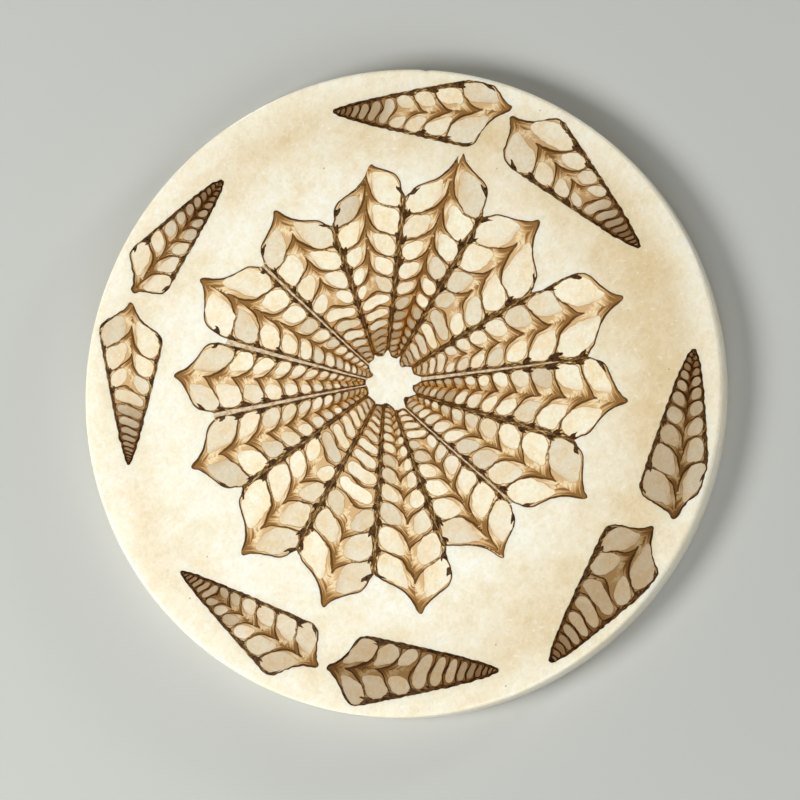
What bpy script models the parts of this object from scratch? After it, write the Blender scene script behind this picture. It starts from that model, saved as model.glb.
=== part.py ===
# A round slab of polished calcite inlaid with lengthwise slices of turreted
# sea-snail shells: a rosette of fourteen round a bare centre, and four pairs
# round the rim.  The slab lies on its back with the slices facing up.
# Metres, +Z up; the origin is the middle of the underside.
import math

import bmesh
import bpy

MM = 0.001

# Slab
DISC_RADIUS = 100 * MM
DISC_THICKNESS = 12 * MM
EDGE_ROUND = 1.2 * MM        # radius of the round along both rims
RIM_SEGMENTS = 96
ROUND_SEGMENTS = 4

# Slices
SLICE_DEPTH = 4.5 * MM
FIT_GAP = 0.3 * MM           # clearance between a slice and its pocket
POCKET_STEP = 0.1 * MM       # pockets that meet are cut to slightly different depths
SHOULDER_LIMIT = DISC_RADIUS - EDGE_ROUND - 1.5 * FIT_GAP   # keeps the slices off the round

# A slice's open end sweeps back from its tip as drop = LIP_SWEEP * scale^0.4 * width^0.6,
# with the width counted from the blunt tip's own side
LIP_SWEEP = 0.365
LIP_POWER = 0.6
TIP_SHARE = 1.194            # tip distance over the scale of the last whorl
TIP_HALF_WIDTH = 0.6 * MM
LAG_WIDTH = 3 * MM           # how soon a lip that stands back leaves the columella
LIP_POINTS = 7
LIP_CROWDING = 0.7           # below 1, the lip's points crowd towards the blunt tip
LIP_STEP = 0.1 * MM          # how finely the meeting of lip and wall is searched for
CORNER_CUT = 4 * MM          # length of wall taken off by a shoulder's round
LIP_CUT = 3.2 * MM           # width of lip taken off by it
CORNER_POINTS = 4
MITRE_LIMIT = 0.5            # caps how far a sharp corner of a pocket is drawn out

# Rosette: the shells radiate from this point, and their trimmed ends leave a bare star
ROSETTE_CENTRE = (-3.9 * MM, 2.8 * MM)
SEAM_NEAR_RADIUS = 9 * MM
SEAM_FAR_RADIUS = 50 * MM

# One row a shell, clockwise from the top: tip distance and direction from the
# rosette centre, where its trimmed end starts, the half-width limits of its
# left and right shoulders, and how far each lip stands back from the tip (mm)
ROSETTE = [
    dict(tip=67.6, angle=95.4, start=8.5, half=(12.6, 9.3), lag=(2.6, -3.3)),
    dict(tip=74.5, angle=72.4, start=8.0, half=(11.7, 12.0), lag=(6.7, -0.4)),
    dict(tip=68.6, angle=46.2, start=6.5, half=(13.0, 12.3), lag=(0.0, 5.5)),
    dict(tip=78.0, angle=19.0, start=8.5, half=(12.2, 12.2), lag=(0.5, 6.0)),
    dict(tip=75.3, angle=-5.0, start=8.0, half=(12.2, 11.9), lag=(0.0, 3.5)),
    dict(tip=72.3, angle=-30.2, start=7.0, half=(12.6, 12.0), lag=(0.0, 6.3)),
    dict(tip=65.5, angle=-56.2, start=8.5, half=(10.5, 12.0), lag=(0.0, 5.0)),
    dict(tip=72.3, angle=-81.4, start=6.0, half=(11.7, 12.0), lag=(0.0, 5.3)),
    dict(tip=72.0, angle=-106.1, start=7.0, half=(11.8, 12.0), lag=(0.5, 5.0)),
    dict(tip=69.8, angle=-130.9, start=7.0, half=(11.5, 12.4), lag=(0.0, 3.8)),
    dict(tip=67.0, angle=-157.6, start=6.5, half=(11.2, 10.9), lag=(0.0, 2.8)),
    dict(tip=67.9, angle=177.3, start=7.0, half=(10.9, 10.9), lag=(0.0, 2.8)),
    dict(tip=68.4, angle=150.9, start=5.3, half=(12.4, 11.7), lag=(0.0, 4.5)),
    dict(tip=65.2, angle=123.8, start=8.5, half=(11.5, 10.9), lag=(0.0, 4.0)),
]

# The seam on the right of each rosette shell: its direction from the rosette
# centre at the near and the far radius, and half its width (mm)
SEAMS = [
    dict(near=91.0, far=85.6, half=0.25), dict(near=64.8, far=60.8, half=0.25),
    dict(near=33.7, far=32.1, half=0.25), dict(near=5.9, far=6.3, half=0.4),
    dict(near=-22.9, far=-18.0, half=0.25), dict(near=-56.5, far=-43.2, half=0.4),
    dict(near=-75.2, far=-70.3, half=0.25), dict(near=-98.7, far=-94.0, half=0.25),
    dict(near=-118.6, far=-119.3, half=0.3), dict(near=-149.3, far=-144.7, half=0.25),
    dict(near=-173.7, far=-169.9, half=0.5), dict(near=169.1, far=166.0, half=0.6),
    dict(near=138.4, far=137.4, half=0.4), dict(near=117.7, far=109.9, half=0.25),
]

# Rim pairs: apex and tip (mm), and each side's half-width at the apex, widening
# per millimetre and shoulder limit
RIM = {
    "rim_shell_top_left": dict(apex=(-21.9, 86.8), tip=(34.5, 86.9), lag=(0.0, 5.5),
                               left=(2.0, 0.185, 10.2), right=(1.2, 0.245, 12.2)),
    "rim_shell_top_right": dict(apex=(73.9, 43.3), tip=(33.9, 84.7), lag=(0.0, 4.0),
                                left=(1.3, 0.213, 11.0), right=(2.2, 0.19, 10.6)),
    "rim_shell_left_upper": dict(apex=(-56.9, 66.2), tip=(-85.4, 31.9), lag=(0.0, 3.0),
                                 left=(1.9, 0.18, 9.0), right=(2.0, 0.197, 9.2)),
    "rim_shell_left_lower": dict(apex=(-85.5, -21.7), tip=(-85.4, 28.8), lag=(0.0, 4.5),
                                 left=(1.5, 0.215, 10.3), right=(1.2, 0.24, 10.8)),
    "rim_shell_bottom_left": dict(apex=(-68.5, -54.9), tip=(-24.9, -84.6), lag=(0.0, 4.0),
                                  left=(1.2, 0.205, 10.4), right=(1.4, 0.24, 12.0)),
    "rim_shell_bottom_right": dict(apex=(31.2, -85.2), tip=(-22.4, -84.6), lag=(0.0, 4.0),
                                   left=(2.4, 0.215, 12.4), right=(1.4, 0.205, 11.4)),
    "rim_shell_right_upper": dict(apex=(91.4, 12.0), tip=(85.7, -40.0), lag=(4.7, -0.5),
                                  left=(1.9, 0.24, 11.4), right=(2.4, 0.23, 12.3)),
    "rim_shell_right_lower": dict(apex=(48.8, -83.8), tip=(79.2, -42.0), lag=(0.0, 4.5),
                                  left=(3.6, 0.2, 12.3), right=(0.6, 0.275, 12.5)),
}


def clear_scene():
    for item in list(bpy.data.objects):
        bpy.data.objects.remove(item, do_unlink=True)


def make_material(name, colour, roughness):
    material = bpy.data.materials.new(name)
    material.use_nodes = True
    shader = material.node_tree.nodes["Principled BSDF"]
    shader.inputs["Base Color"].default_value = (*colour, 1.0)
    shader.inputs["Roughness"].default_value = roughness
    shader.inputs["Metallic"].default_value = 0.0
    return material


def add_object(name, mesh, material):
    mesh.materials.append(material)
    item = bpy.data.objects.new(name, mesh)
    bpy.context.scene.collection.objects.link(item)
    return item


def polar(centre, radius, degrees):
    turn = math.radians(degrees)
    return (centre[0] + radius * math.cos(turn), centre[1] + radius * math.sin(turn))


# A slice is drawn in its own axes: s runs from the apex to the tip, w to the left
class Axes:
    def __init__(self, apex, tip):
        self.apex = apex
        self.length = math.dist(apex, tip)
        self.along = ((tip[0] - apex[0]) / self.length, (tip[1] - apex[1]) / self.length)

    def to_world(self, s, w):
        ux, uy = self.along
        return (self.apex[0] + s * ux - w * uy, self.apex[1] + s * uy + w * ux)

    def to_local(self, point):
        ux, uy = self.along
        dx, dy = point[0] - self.apex[0], point[1] - self.apex[1]
        return (dx * ux + dy * uy, dy * ux - dx * uy)


def seam_wall(axes, seam, limit, side):
    near = axes.to_local(polar(ROSETTE_CENTRE, SEAM_NEAR_RADIUS, seam["near"]))
    far = axes.to_local(polar(ROSETTE_CENTRE, SEAM_FAR_RADIUS, seam["far"]))
    slope = (far[1] - near[1]) / (far[0] - near[0])

    def half_width(s):
        return min(side * (near[1] + slope * (s - near[0])) - seam["half"] * MM, limit * MM)

    return half_width


def cone_wall(at_apex, widening, limit):
    def half_width(s):
        return min(at_apex * MM + widening * s, limit * MM)

    return half_width


# The lip's place along the axis at a distance w from the columella
def lip_place(axes, scale, lag, w):
    set_back = lag * (1 - math.exp(-w / LAG_WIDTH))
    drop = LIP_SWEEP * scale ** (1 - LIP_POWER) * max(w - TIP_HALF_WIDTH, 0.0) ** LIP_POWER
    return axes.length - set_back - drop


# One side of an outline, from the apex round the shoulder to the tip
def side_points(axes, start, wall, lag):
    scale = axes.length / TIP_SHARE - lag
    width = TIP_HALF_WIDTH
    while wall(lip_place(axes, scale, lag, width)) > width:
        width += LIP_STEP
    corner = (lip_place(axes, scale, lag, width), width)
    knee = corner[0] - 2 * CORNER_CUT
    bend = (corner[0] - CORNER_CUT, wall(corner[0] - CORNER_CUT))
    lip_start = width - LIP_CUT
    leave = (lip_place(axes, scale, lag, lip_start), lip_start)
    points = [(start, wall(start)), (knee, wall(knee)), bend]
    for index in range(1, CORNER_POINTS):
        t = index / CORNER_POINTS
        a, b, c = (1 - t) ** 2, 2 * t * (1 - t), t * t
        points.append((a * bend[0] + b * corner[0] + c * leave[0],
                       a * bend[1] + b * corner[1] + c * leave[1]))
    for index in range(LIP_POINTS):
        t = index / (LIP_POINTS - 1)
        w = lip_start + (TIP_HALF_WIDTH - lip_start) * t ** LIP_CROWDING
        points.append((lip_place(axes, scale, lag, w), w))
    return points


def slice_outline(axes, start, walls, lags):
    left = side_points(axes, start, walls[0], lags[0])
    right = [(s, -w) for s, w in side_points(axes, start, walls[1], lags[1])]
    outline = []
    for s, w in right + left[::-1]:
        x, y = axes.to_world(s, w)
        reach = math.hypot(x, y)
        if reach > SHOULDER_LIMIT:
            x, y = x * SHOULDER_LIMIT / reach, y * SHOULDER_LIMIT / reach
        outline.append((x, y))
    return outline


def edge_normal(a, b):
    length = math.dist(a, b)
    return ((b[1] - a[1]) / length, (a[0] - b[0]) / length)


# A counter-clockwise outline moved outwards by a distance, with mitred corners
def grow_outline(outline, distance):
    grown = []
    for index, point in enumerate(outline):
        n1 = edge_normal(outline[index - 1], point)
        n2 = edge_normal(point, outline[(index + 1) % len(outline)])
        share = max(1 + n1[0] * n2[0] + n1[1] * n2[1], MITRE_LIMIT)
        grown.append((point[0] + distance * (n1[0] + n2[0]) / share,
                      point[1] + distance * (n1[1] + n2[1]) / share))
    return grown


def prism_mesh(name, outlines, bottom, top):
    shape = bmesh.new()
    for outline in outlines:
        floor = shape.faces.new([shape.verts.new((x, y, bottom)) for x, y in reversed(outline)])
        raised = bmesh.ops.extrude_face_region(shape, geom=[floor], use_keep_orig=True)
        lifted = [item for item in raised["geom"] if isinstance(item, bmesh.types.BMVert)]
        bmesh.ops.translate(shape, verts=lifted, vec=(0, 0, top - bottom))
    bmesh.ops.recalc_face_normals(shape, faces=shape.faces)
    bmesh.ops.triangulate(shape, faces=shape.faces)
    mesh = bpy.data.meshes.new(name)
    shape.to_mesh(mesh)
    shape.free()
    return mesh


# The slab's half section, from the middle of the underside up round the rim
def disc_profile():
    points = [(0.0, 0.0)]
    inner = DISC_RADIUS - EDGE_ROUND
    for centre_z, first in ((EDGE_ROUND, -90), (DISC_THICKNESS - EDGE_ROUND, 0)):
        for index in range(ROUND_SEGMENTS + 1):
            turn = math.radians(first + 90 * index / ROUND_SEGMENTS)
            points.append((inner + EDGE_ROUND * math.cos(turn),
                           centre_z + EDGE_ROUND * math.sin(turn)))
    points.append((0.0, DISC_THICKNESS))
    return points


def disc_mesh(name):
    shape = bmesh.new()
    rings = []
    for radius, z in disc_profile()[1:-1]:
        rings.append([shape.verts.new((*polar((0, 0), radius, 360 * k / RIM_SEGMENTS), z))
                      for k in range(RIM_SEGMENTS)])
    for lower, upper in zip(rings, rings[1:]):
        for k in range(RIM_SEGMENTS):
            following = (k + 1) % RIM_SEGMENTS
            shape.faces.new((lower[k], lower[following], upper[following], upper[k]))
    shape.faces.new(rings[0][::-1])
    shape.faces.new(rings[-1])
    mesh = bpy.data.meshes.new(name)
    shape.to_mesh(mesh)
    shape.free()
    mesh.shade_smooth()
    mesh.set_sharp_from_angle(angle=math.radians(30))
    return mesh


def cut_pockets(disc, name, outlines, depth):
    grown = [grow_outline(outline, FIT_GAP) for outline in outlines]
    mesh = prism_mesh(name, grown, DISC_THICKNESS - depth, DISC_THICKNESS + SLICE_DEPTH)
    cutter = bpy.data.objects.new(name, mesh)
    bpy.context.scene.collection.objects.link(cutter)
    cutter.hide_render = True
    cutter.display_type = "WIRE"
    cut = disc.modifiers.new(name, "BOOLEAN")
    cut.operation = "DIFFERENCE"
    cut.solver = "EXACT"
    cut.object = cutter


def rosette_outlines():
    outlines = []
    for index, shell in enumerate(ROSETTE):
        tip = polar(ROSETTE_CENTRE, shell["tip"] * MM, shell["angle"])
        axes = Axes(ROSETTE_CENTRE, tip)
        walls = (seam_wall(axes, SEAMS[index - 1], shell["half"][0], 1),
                 seam_wall(axes, SEAMS[index], shell["half"][1], -1))
        lags = [lag * MM for lag in shell["lag"]]
        outlines.append(slice_outline(axes, shell["start"] * MM, walls, lags))
    return outlines


def rim_outlines():
    outlines = {}
    for name, shell in RIM.items():
        apex = (shell["apex"][0] * MM, shell["apex"][1] * MM)
        tip = (shell["tip"][0] * MM, shell["tip"][1] * MM)
        lags = [lag * MM for lag in shell["lag"]]
        walls = (cone_wall(*shell["left"]), cone_wall(*shell["right"]))
        outlines[name] = slice_outline(Axes(apex, tip), 0.0, walls, lags)
    return outlines


def build():
    clear_scene()
    stone = make_material("polished calcite", (0.83, 0.77, 0.62), 0.22)
    fossil = make_material("fossil shell", (0.42, 0.27, 0.13), 0.25)

    rosette = rosette_outlines()
    rim = rim_outlines()
    disc = add_object("stone_disc", disc_mesh("stone_disc"), stone)
    cut_pockets(disc, "pockets_odd", rosette[0::2], SLICE_DEPTH + FIT_GAP)
    cut_pockets(disc, "pockets_even", rosette[1::2], SLICE_DEPTH + FIT_GAP + POCKET_STEP)
    cut_pockets(disc, "pockets_rim", list(rim.values()), SLICE_DEPTH + FIT_GAP)

    slices = {f"rosette_shell_{index + 1:02d}": outline for index, outline in enumerate(rosette)}
    slices.update(rim)
    bottom = DISC_THICKNESS - SLICE_DEPTH
    for name, outline in slices.items():
        add_object(name, prism_mesh(name, [outline], bottom, DISC_THICKNESS), fossil)


build()
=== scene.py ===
import math
import random
from functools import partial
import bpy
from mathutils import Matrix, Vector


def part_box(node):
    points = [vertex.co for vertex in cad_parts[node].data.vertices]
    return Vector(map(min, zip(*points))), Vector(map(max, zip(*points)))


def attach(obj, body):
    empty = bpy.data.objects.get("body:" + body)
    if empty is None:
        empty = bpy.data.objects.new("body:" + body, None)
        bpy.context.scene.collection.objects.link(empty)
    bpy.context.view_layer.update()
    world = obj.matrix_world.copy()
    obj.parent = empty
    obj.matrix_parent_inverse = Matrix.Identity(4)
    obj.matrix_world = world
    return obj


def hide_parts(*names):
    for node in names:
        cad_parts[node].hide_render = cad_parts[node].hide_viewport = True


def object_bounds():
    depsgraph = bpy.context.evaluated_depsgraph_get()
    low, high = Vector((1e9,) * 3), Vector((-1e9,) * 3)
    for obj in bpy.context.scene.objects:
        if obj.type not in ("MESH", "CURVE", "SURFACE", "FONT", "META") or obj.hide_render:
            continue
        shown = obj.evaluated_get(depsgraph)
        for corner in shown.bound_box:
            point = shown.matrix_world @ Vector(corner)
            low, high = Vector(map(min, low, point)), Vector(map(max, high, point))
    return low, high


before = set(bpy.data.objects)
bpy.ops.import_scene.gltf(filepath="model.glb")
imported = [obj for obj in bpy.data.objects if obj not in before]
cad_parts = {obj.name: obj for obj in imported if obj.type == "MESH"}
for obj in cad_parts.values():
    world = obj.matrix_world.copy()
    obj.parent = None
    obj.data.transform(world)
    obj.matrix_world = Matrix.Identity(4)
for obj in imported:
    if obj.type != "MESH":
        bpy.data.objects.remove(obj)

from types import SimpleNamespace

import bmesh
import bpy
import numpy as np
from mathutils import Matrix, Vector, kdtree, noise
from mathutils.geometry import delaunay_2d_cdt

cadLow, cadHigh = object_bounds()
mm = 0.001

# A fossil shell disc: calcite slab, shell slices set flush in it.  Outlines are
# worked in millimetres on the slab's face and turned to metres in the meshes.

print("helpers")


def hexToLinear(code):
    channels = [int(code[i:i + 2], 16) / 255 for i in (1, 3, 5)]
    linear = [c / 12.92 if c <= 0.04045 else ((c + 0.055) / 1.055) ** 2.4 for c in channels]
    return (*linear, 1.0)


# One node, with its inputs by socket or in order (a value, a hex colour, another node
# or its output; a mix's are its share and two colours), its mode (a sum's operation,
# a mix's blend type or a range's smoothing), a ramp's stops and its other settings
def addNode(tree, kind, inputs=(), mode=None, stops=None, **settings):
    node = tree.nodes.new("ShaderNode" + kind)
    if kind == "Mix":
        settings["data_type"] = "RGBA"
        inputs = dict(zip((0, 6, 7), inputs))
    if mode:
        settings[dict(Mix="blend_type", MapRange="interpolation_type").get(kind, "operation")] = mode
    for name, value in settings.items():
        setattr(node, name, value)
    for socket, value in inputs.items() if isinstance(inputs, dict) else enumerate(inputs):
        if isinstance(value, bpy.types.Node):
            value = value.outputs[2 if value.bl_idname == "ShaderNodeMix" else 0]
        if isinstance(value, bpy.types.NodeSocket):
            tree.links.new(value, node.inputs[socket])
        else:
            given = hexToLinear(value) if isinstance(value, str) else value
            node.inputs[socket].default_value = given
    if stops:
        ramp = node.color_ramp.elements
        while len(ramp) < len(stops):
            ramp.new(1.0)
        for element, (place, colour) in zip(ramp, stops):
            element.position = place
        for element, (place, colour) in zip(ramp, stops):
            element.color = hexToLinear(colour)
    return node


# A bare material and the function that adds nodes to it
def newMaterial(name):
    material = bpy.data.materials.new(name)
    material.use_nodes = True
    material.node_tree.nodes.clear()
    return material, partial(addNode, material.node_tree)


def finishMaterial(material, surface):
    shader = addNode(material.node_tree, "BsdfPrincipled", surface)
    addNode(material.node_tree, "OutputMaterial", {"Surface": shader})
    return material


def smoothstep(low, high, value):
    t = np.clip((value - low) / (high - low), 0, 1)
    return t * t * (3 - 2 * t)


# Points at an even spacing along a line or a closed loop
def evenly(points, step, closed=True):
    points = np.asarray(points, float)
    path = np.vstack([points, points[:1]]) if closed else points
    run = np.concatenate([[0], np.cumsum(np.hypot(*np.diff(path, axis=0).T))])
    count = max(3, int(round(run[-1] / step)))
    places = np.linspace(0, run[-1], count + 1)
    if closed:
        places = places[:-1]
    return np.column_stack([np.interp(places, run, path[:, 0]), np.interp(places, run, path[:, 1])])


# Cuts the corners of a closed loop, each pass rounder
def cutCorners(points, passes):
    for _ in range(passes):
        after = np.roll(points, -1, axis=0)
        points = np.column_stack([points * 0.75 + after * 0.25, points * 0.25 + after * 0.75])
        points = points.reshape(-1, 2)
    return points


# Rounds a closed loop by fading its high waves: few waves leave an oval
def roundLoop(points, waves):
    loop = evenly(points, 0.25)
    turns = np.fft.fft(loop[:, 0] + 1j * loop[:, 1])
    order = np.abs(np.fft.fftfreq(len(loop)) * len(loop))
    loop = np.fft.ifft(turns * np.exp(-np.maximum(order ** 2 - 1, 0) / waves ** 2))
    return np.column_stack([loop.real, loop.imag])


# Which of the points lie inside a closed loop
def insideLoop(points, loop):
    inside = np.zeros(len(points), bool)
    low, high = loop.min(axis=0), loop.max(axis=0)
    near = np.nonzero(np.all((points > low) & (points < high), axis=1))[0]
    x, y = points[near].T
    within = np.zeros(len(near), bool)
    for (x1, y1), (x2, y2) in zip(loop, np.roll(loop, -1, axis=0)):
        if y1 != y2:
            crosses = (y1 > y) != (y2 > y)
            within ^= crosses & (x < x1 + (y - y1) * (x2 - x1) / (y2 - y1))
    inside[near] = within
    return inside


print("shell outlines")

# The shells, one row each: how far the columella bows (core), growth from one chamber
# to the next, place of the outermost chamber and its side (lead: 1 left, -1 right),
# where the chambers merge across the columella, where the brown, striped tip starts,
# whether the arms overlap along the columella (tailed), and how far its tip leans
shellColumns = ("core", "growth", "outer", "lead", "merged", "striped", "tailed", "lean")

# The rosette, clockwise from the top, each row led by the tip's distance from the
# centre and its direction.  Millimetres and degrees
rosette = dict(
    centre=(-3.9, 2.8),
    seam=0.10,  # between two neighbours
    seamReach=(2.0, 3.0),  # how far apart two outlines may lie to be brought together
    wideSeams={4: (1.0, 0.1), 6: (0.3, 0.5), 11: (0.3, 1.5), 12: (0.4, 1.5), 13: (0.3, 0.7)},
    seamRun=(10.0, 62.0),  # where a wide seam's two widths, inner and outer, are met
    shells=[
        (67.6, 95.4, 2.6, 0.920, 60.0, -1, 29.5, 17.0, True, 1.6),
        (74.5, 72.4, 0.5, 0.919, 63.0, -1, 0.0, 24.0, True, 0.0),
        (68.6, 46.2, 0.6, 0.901, 58.5, 1, 26.0, 12.5, False, 0.4),
        (78.0, 19.0, 0.2, 0.914, 64.5, 1, 19.0, 10.0, False, -0.3),
        (75.3, -5.0, 0.2, 0.924, 65.5, 1, 0.0, 22.0, False, 0.0),
        (72.3, -30.2, -0.2, 0.911, 61.0, 1, 0.0, 12.0, False, -0.3),
        (65.5, -56.2, -1.0, 0.914, 56.0, 1, 21.5, 9.0, True, 0.3),
        (72.3, -81.4, -0.1, 0.916, 62.5, 1, 0.0, 10.0, False, -0.2),
        (72.0, -106.1, -0.2, 0.916, 61.0, 1, 37.0, 11.0, False, 0.0),
        (69.8, -130.9, -0.3, 0.909, 60.0, 1, 29.0, 8.0, False, -0.5),
        (67.0, -157.6, -0.2, 0.919, 57.5, 1, 0.0, 15.0, False, 0.0),
        (67.9, 177.3, 0.2, 0.921, 58.5, 1, 0.0, 12.0, False, 0.3),
        (68.4, 150.9, 0.3, 0.914, 57.5, 1, 0.0, 8.0, True, 0.2),
        (65.2, 123.8, 0.0, 0.914, 56.0, 1, 28.0, 15.0, False, 0.0),
    ],
    ground=0.13,  # how far the ground outlines wander
    cleft={2: [(77.5, -1.0), (77.5, 1.5), (73.6, 0.75), (70.4, 0.1), (73.2, -0.35)]},
)

# The rim shells, by their nodes' endings, each row led by its apex and tip on the
# face.  Their whorls shrink towards a point (virtual) before the broken, worn (aged)
# apex, their outer walls are thicker, and some are darker all through (shade), partly
# painted shadow over the disc's lower right
rimColumns = shellColumns[:-1] + ("virtual", "walls", "shade")
rim = dict(ground=0.3, aged=0.6, shells=dict(
    top_left=((-21.9, 86.8), (34.5, 86.9), -0.3, 0.903, 47.0, 1, 18.0, 6.0, False, -5.0, 1.5, 0.1),
    top_right=((73.9, 43.3), (33.9, 84.7), 0.3, 0.912, 46.0, 1, 20.0, 11.0, False, -5.0, 1.5, 0.3),
    left_upper=((-56.9, 66.2), (-85.4, 31.9), 0.0, 0.913, 38.0, 1, 0.0, 8.0, True, -6.0, 1.3, 0.25),
    left_lower=((-85.5, -21.7), (-85.4, 28.8), 0.0, 0.902, 43.0, 1, 23.5, 3.0, False, -2.0, 1.4, 0.1),
    bottom_left=((-68.5, -54.9), (-24.9, -84.6), -0.2, 0.909, 46.5, 1, 14.5, 5.0, False, -4.0, 1.4, 0.35),
    bottom_right=((31.2, -85.2), (-22.4, -84.6), 0.7, 0.912, 47.5, 1, 26.5, 11.0, False, -6.0, 1.5, 0.95),
    right_upper=((91.4, 12.0), (85.7, -40.0), -0.3, 0.900, 45.0, -1, 0.0, 6.0, True, -6.0, 1.3, 0.8),
    right_lower=((48.8, -83.8), (79.2, -42.0), 0.6, 0.900, 44.0, 1, 29.0, 10.0, False, -6.0, 1.4, 0.85),
))

# How every shell's whorls are built, as shares of a chamber's distance from the
# virtual apex (its scale).  Lengths on the face are in millimetres
whorls = dict(
    bow=4.2,  # turns a columella's bow into the height of its curve
    tipShare=1.194,  # where a septum meets the columella
    nodeBack=0.9975,  # its node lies by the next larger whorl's scale, a touch back
    sweep=0.365,  # how far it falls back on its way to the outer wall, and how steeply
    power=0.6,
    nodeReach=0.035,  # width of the spike that a septum draws out at its node
    tail=0.13,  # a thinner one where the arms overlap along the columella
    tailWidth=0.02,
    smallest=3.0,  # the last chamber's scale, and how many there may be
    most=44,
    waist=0.06,  # the bend of a chamber that crosses the columella, and how far
    turn=0.09,  # beside it one side's growth turns into the other's
    arch=(0.30, 0.45),  # how far it is arched: the least, and more with size
    archSizes=(0.3, 1.0),
    archMiddle=0.13,
    warp=((0.40, 4.5), (0.13, 1.3)),  # how far, and over what length, all lines wander
    warpGain=1.6,
    calm=(1.6, 45.0),  # near the outline and the apex they wander less
    spacing=0.35,  # of the points on a line,
    smallSpacing=0.2,  # on a barb or the cleft,
    finestSpacing=0.1,  # on a line that distances are measured from,
    gridSpacing=0.75,  # and in the net between the lines
    gridJitter=0.2,
    lined=8.0,  # septa of chambers smaller than this are in the shader alone
    outerWall=(0.45, 0.018),  # width of the splintered outer wall: millimetres and a share
    nodeDark=0.05,  # reach of the dark by a node, and how dark lips are all along
    lipDark=0.25,
    lipSkin=0.55,  # distances on the lip, shrunk so that its dark skin is thicker
    dip=0.05,  # how far the polished filling lies below the shell walls
    dipWidth=0.35,
)


# The rim of a slice's top face, anticlockwise from above, in millimetres
def topLoop(nodeName):
    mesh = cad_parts[nodeName].data
    top = max(vertex.co.z for vertex in mesh.vertices)
    mesh.calc_loop_triangles()
    ahead = {}
    for triangle in mesh.loop_triangles:
        corners = [mesh.vertices[i].co for i in triangle.vertices]
        if min(c.z for c in corners) < top - 1e-5:
            continue
        spots = [(round(c.x / mm, 2), round(c.y / mm, 2)) for c in corners]
        for a, b in ((0, 1), (1, 2), (2, 0)):
            ahead[(spots[a], spots[b])] = True
    following = {a: b for a, b in ahead if (b, a) not in ahead}
    first = next(iter(following))
    loop = [first]
    while following[loop[-1]] != first:
        loop.append(following[loop[-1]])
    return np.array(loop)


# A ground edge wanders by a tenth of a millimetre or two
def wander(loop, amount, size=1.6, bias=0.6, seed=0.0):
    ahead = np.roll(loop, -1, axis=0) - np.roll(loop, 1, axis=0)
    normal = np.column_stack([ahead[:, 1], -ahead[:, 0]]) / np.hypot(*ahead.T)[:, None]
    shift = [noise.noise(Vector((x / size, y / size, seed))) for x, y in loop]
    return loop + normal * amount * (bias + np.array(shift))[:, None]


# How wide the seam between two of the rosette's slices stays open at a place
def seamWidth(x, y, one, other):
    pair = sorted((one, other))
    first = pair[1] if pair == [1, len(rosette["shells"])] else pair[0]
    away = math.hypot(x - rosette["centre"][0], y - rosette["centre"][1])
    widths = rosette["wideSeams"].get(first, (rosette["seam"], rosette["seam"]))
    return np.interp(away, rosette["seamRun"], widths)


# Finds the nearest of some points
def treeOf(points):
    tree = kdtree.KDTree(len(points))
    for number, (x, y) in enumerate(points):
        tree.insert((x, y, 0.0), number)
    tree.balance()
    return tree


# The rosette's slices are ground to fit each other.  This brings each outline out
# to the middle of the seam, less half of what stays open there
def closeSeams(loops):
    closed = {}
    near, far = rosette["seamReach"]
    for name, loop in loops.items():
        owners, others = zip(*[(other, spot) for other in loops if other != name for spot in loops[other]])
        tree = treeOf(others)
        moved = []
        for x, y in loop:
            spot, index, reach = tree.find((x, y, 0.0))
            left = seamWidth(x, y, int(name[-2:]), int(owners[index][-2:]))
            grow = max(0.0, reach - left) / 2 * (1 - smoothstep(near, far, reach))
            moved.append((x + (spot[0] - x) * grow / reach, y + (spot[1] - y) * grow / reach))
        closed[name] = evenly(np.array(moved), whorls["spacing"])
    return closed


# A shell from its row, with its outline on both sides, split at the shoulder into
# lip and flank, and its chambers
def makeShell(name, data, apex, tip, loop):
    shell = SimpleNamespace(**dict(lean=0.0, virtual=0.0, walls=1.0, shade=0.0, aged=0.0, cleft=None) | data)
    shell.name, shell.seed, shell.loop = name, 5.0 * len(shells), loop
    shell.apex = np.array(apex, float)
    reach = np.array(tip, float) - shell.apex
    shell.length = float(np.hypot(*reach))
    shell.along = reach / shell.length
    shell.leftward = np.array([-shell.along[1], shell.along[0]])
    local = toLocal(shell, loop)
    shell.outline, shell.lip, shell.flank = {}, {}, {}
    for side in (1, -1):
        points = local[local[:, 1] * side > 0]
        points = points[np.argsort(points[:, 0])]
        shell.outline[side] = (points[:, 0], np.abs(points[:, 1]))
        shoulder = points[np.argmax(np.abs(points[:, 1])), 0]
        shell.lip[side] = points[points[:, 0] >= shoulder]
        shell.flank[side] = points[points[:, 0] <= shoulder]
    shell.chambers = chamberList(shell)
    return shell


# A shell's own frame: the station along it from its apex, and the place leftward
def toLocal(shell, points):
    away = points - shell.apex
    return np.column_stack([away @ shell.along, away @ shell.leftward])


def toFace(shell, points):
    return shell.apex + points[:, :1] * shell.along + points[:, 1:] * shell.leftward


# Places of the slice's edge and of the columella at a station
def wallAt(shell, side, station):
    return np.interp(station, *shell.outline[side])


def coreAt(shell, station):
    share = np.clip(station / shell.length, 0, 1.02)
    return shell.core * whorls["bow"] * share * (1 - share) + shell.lean * share ** 3


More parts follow.
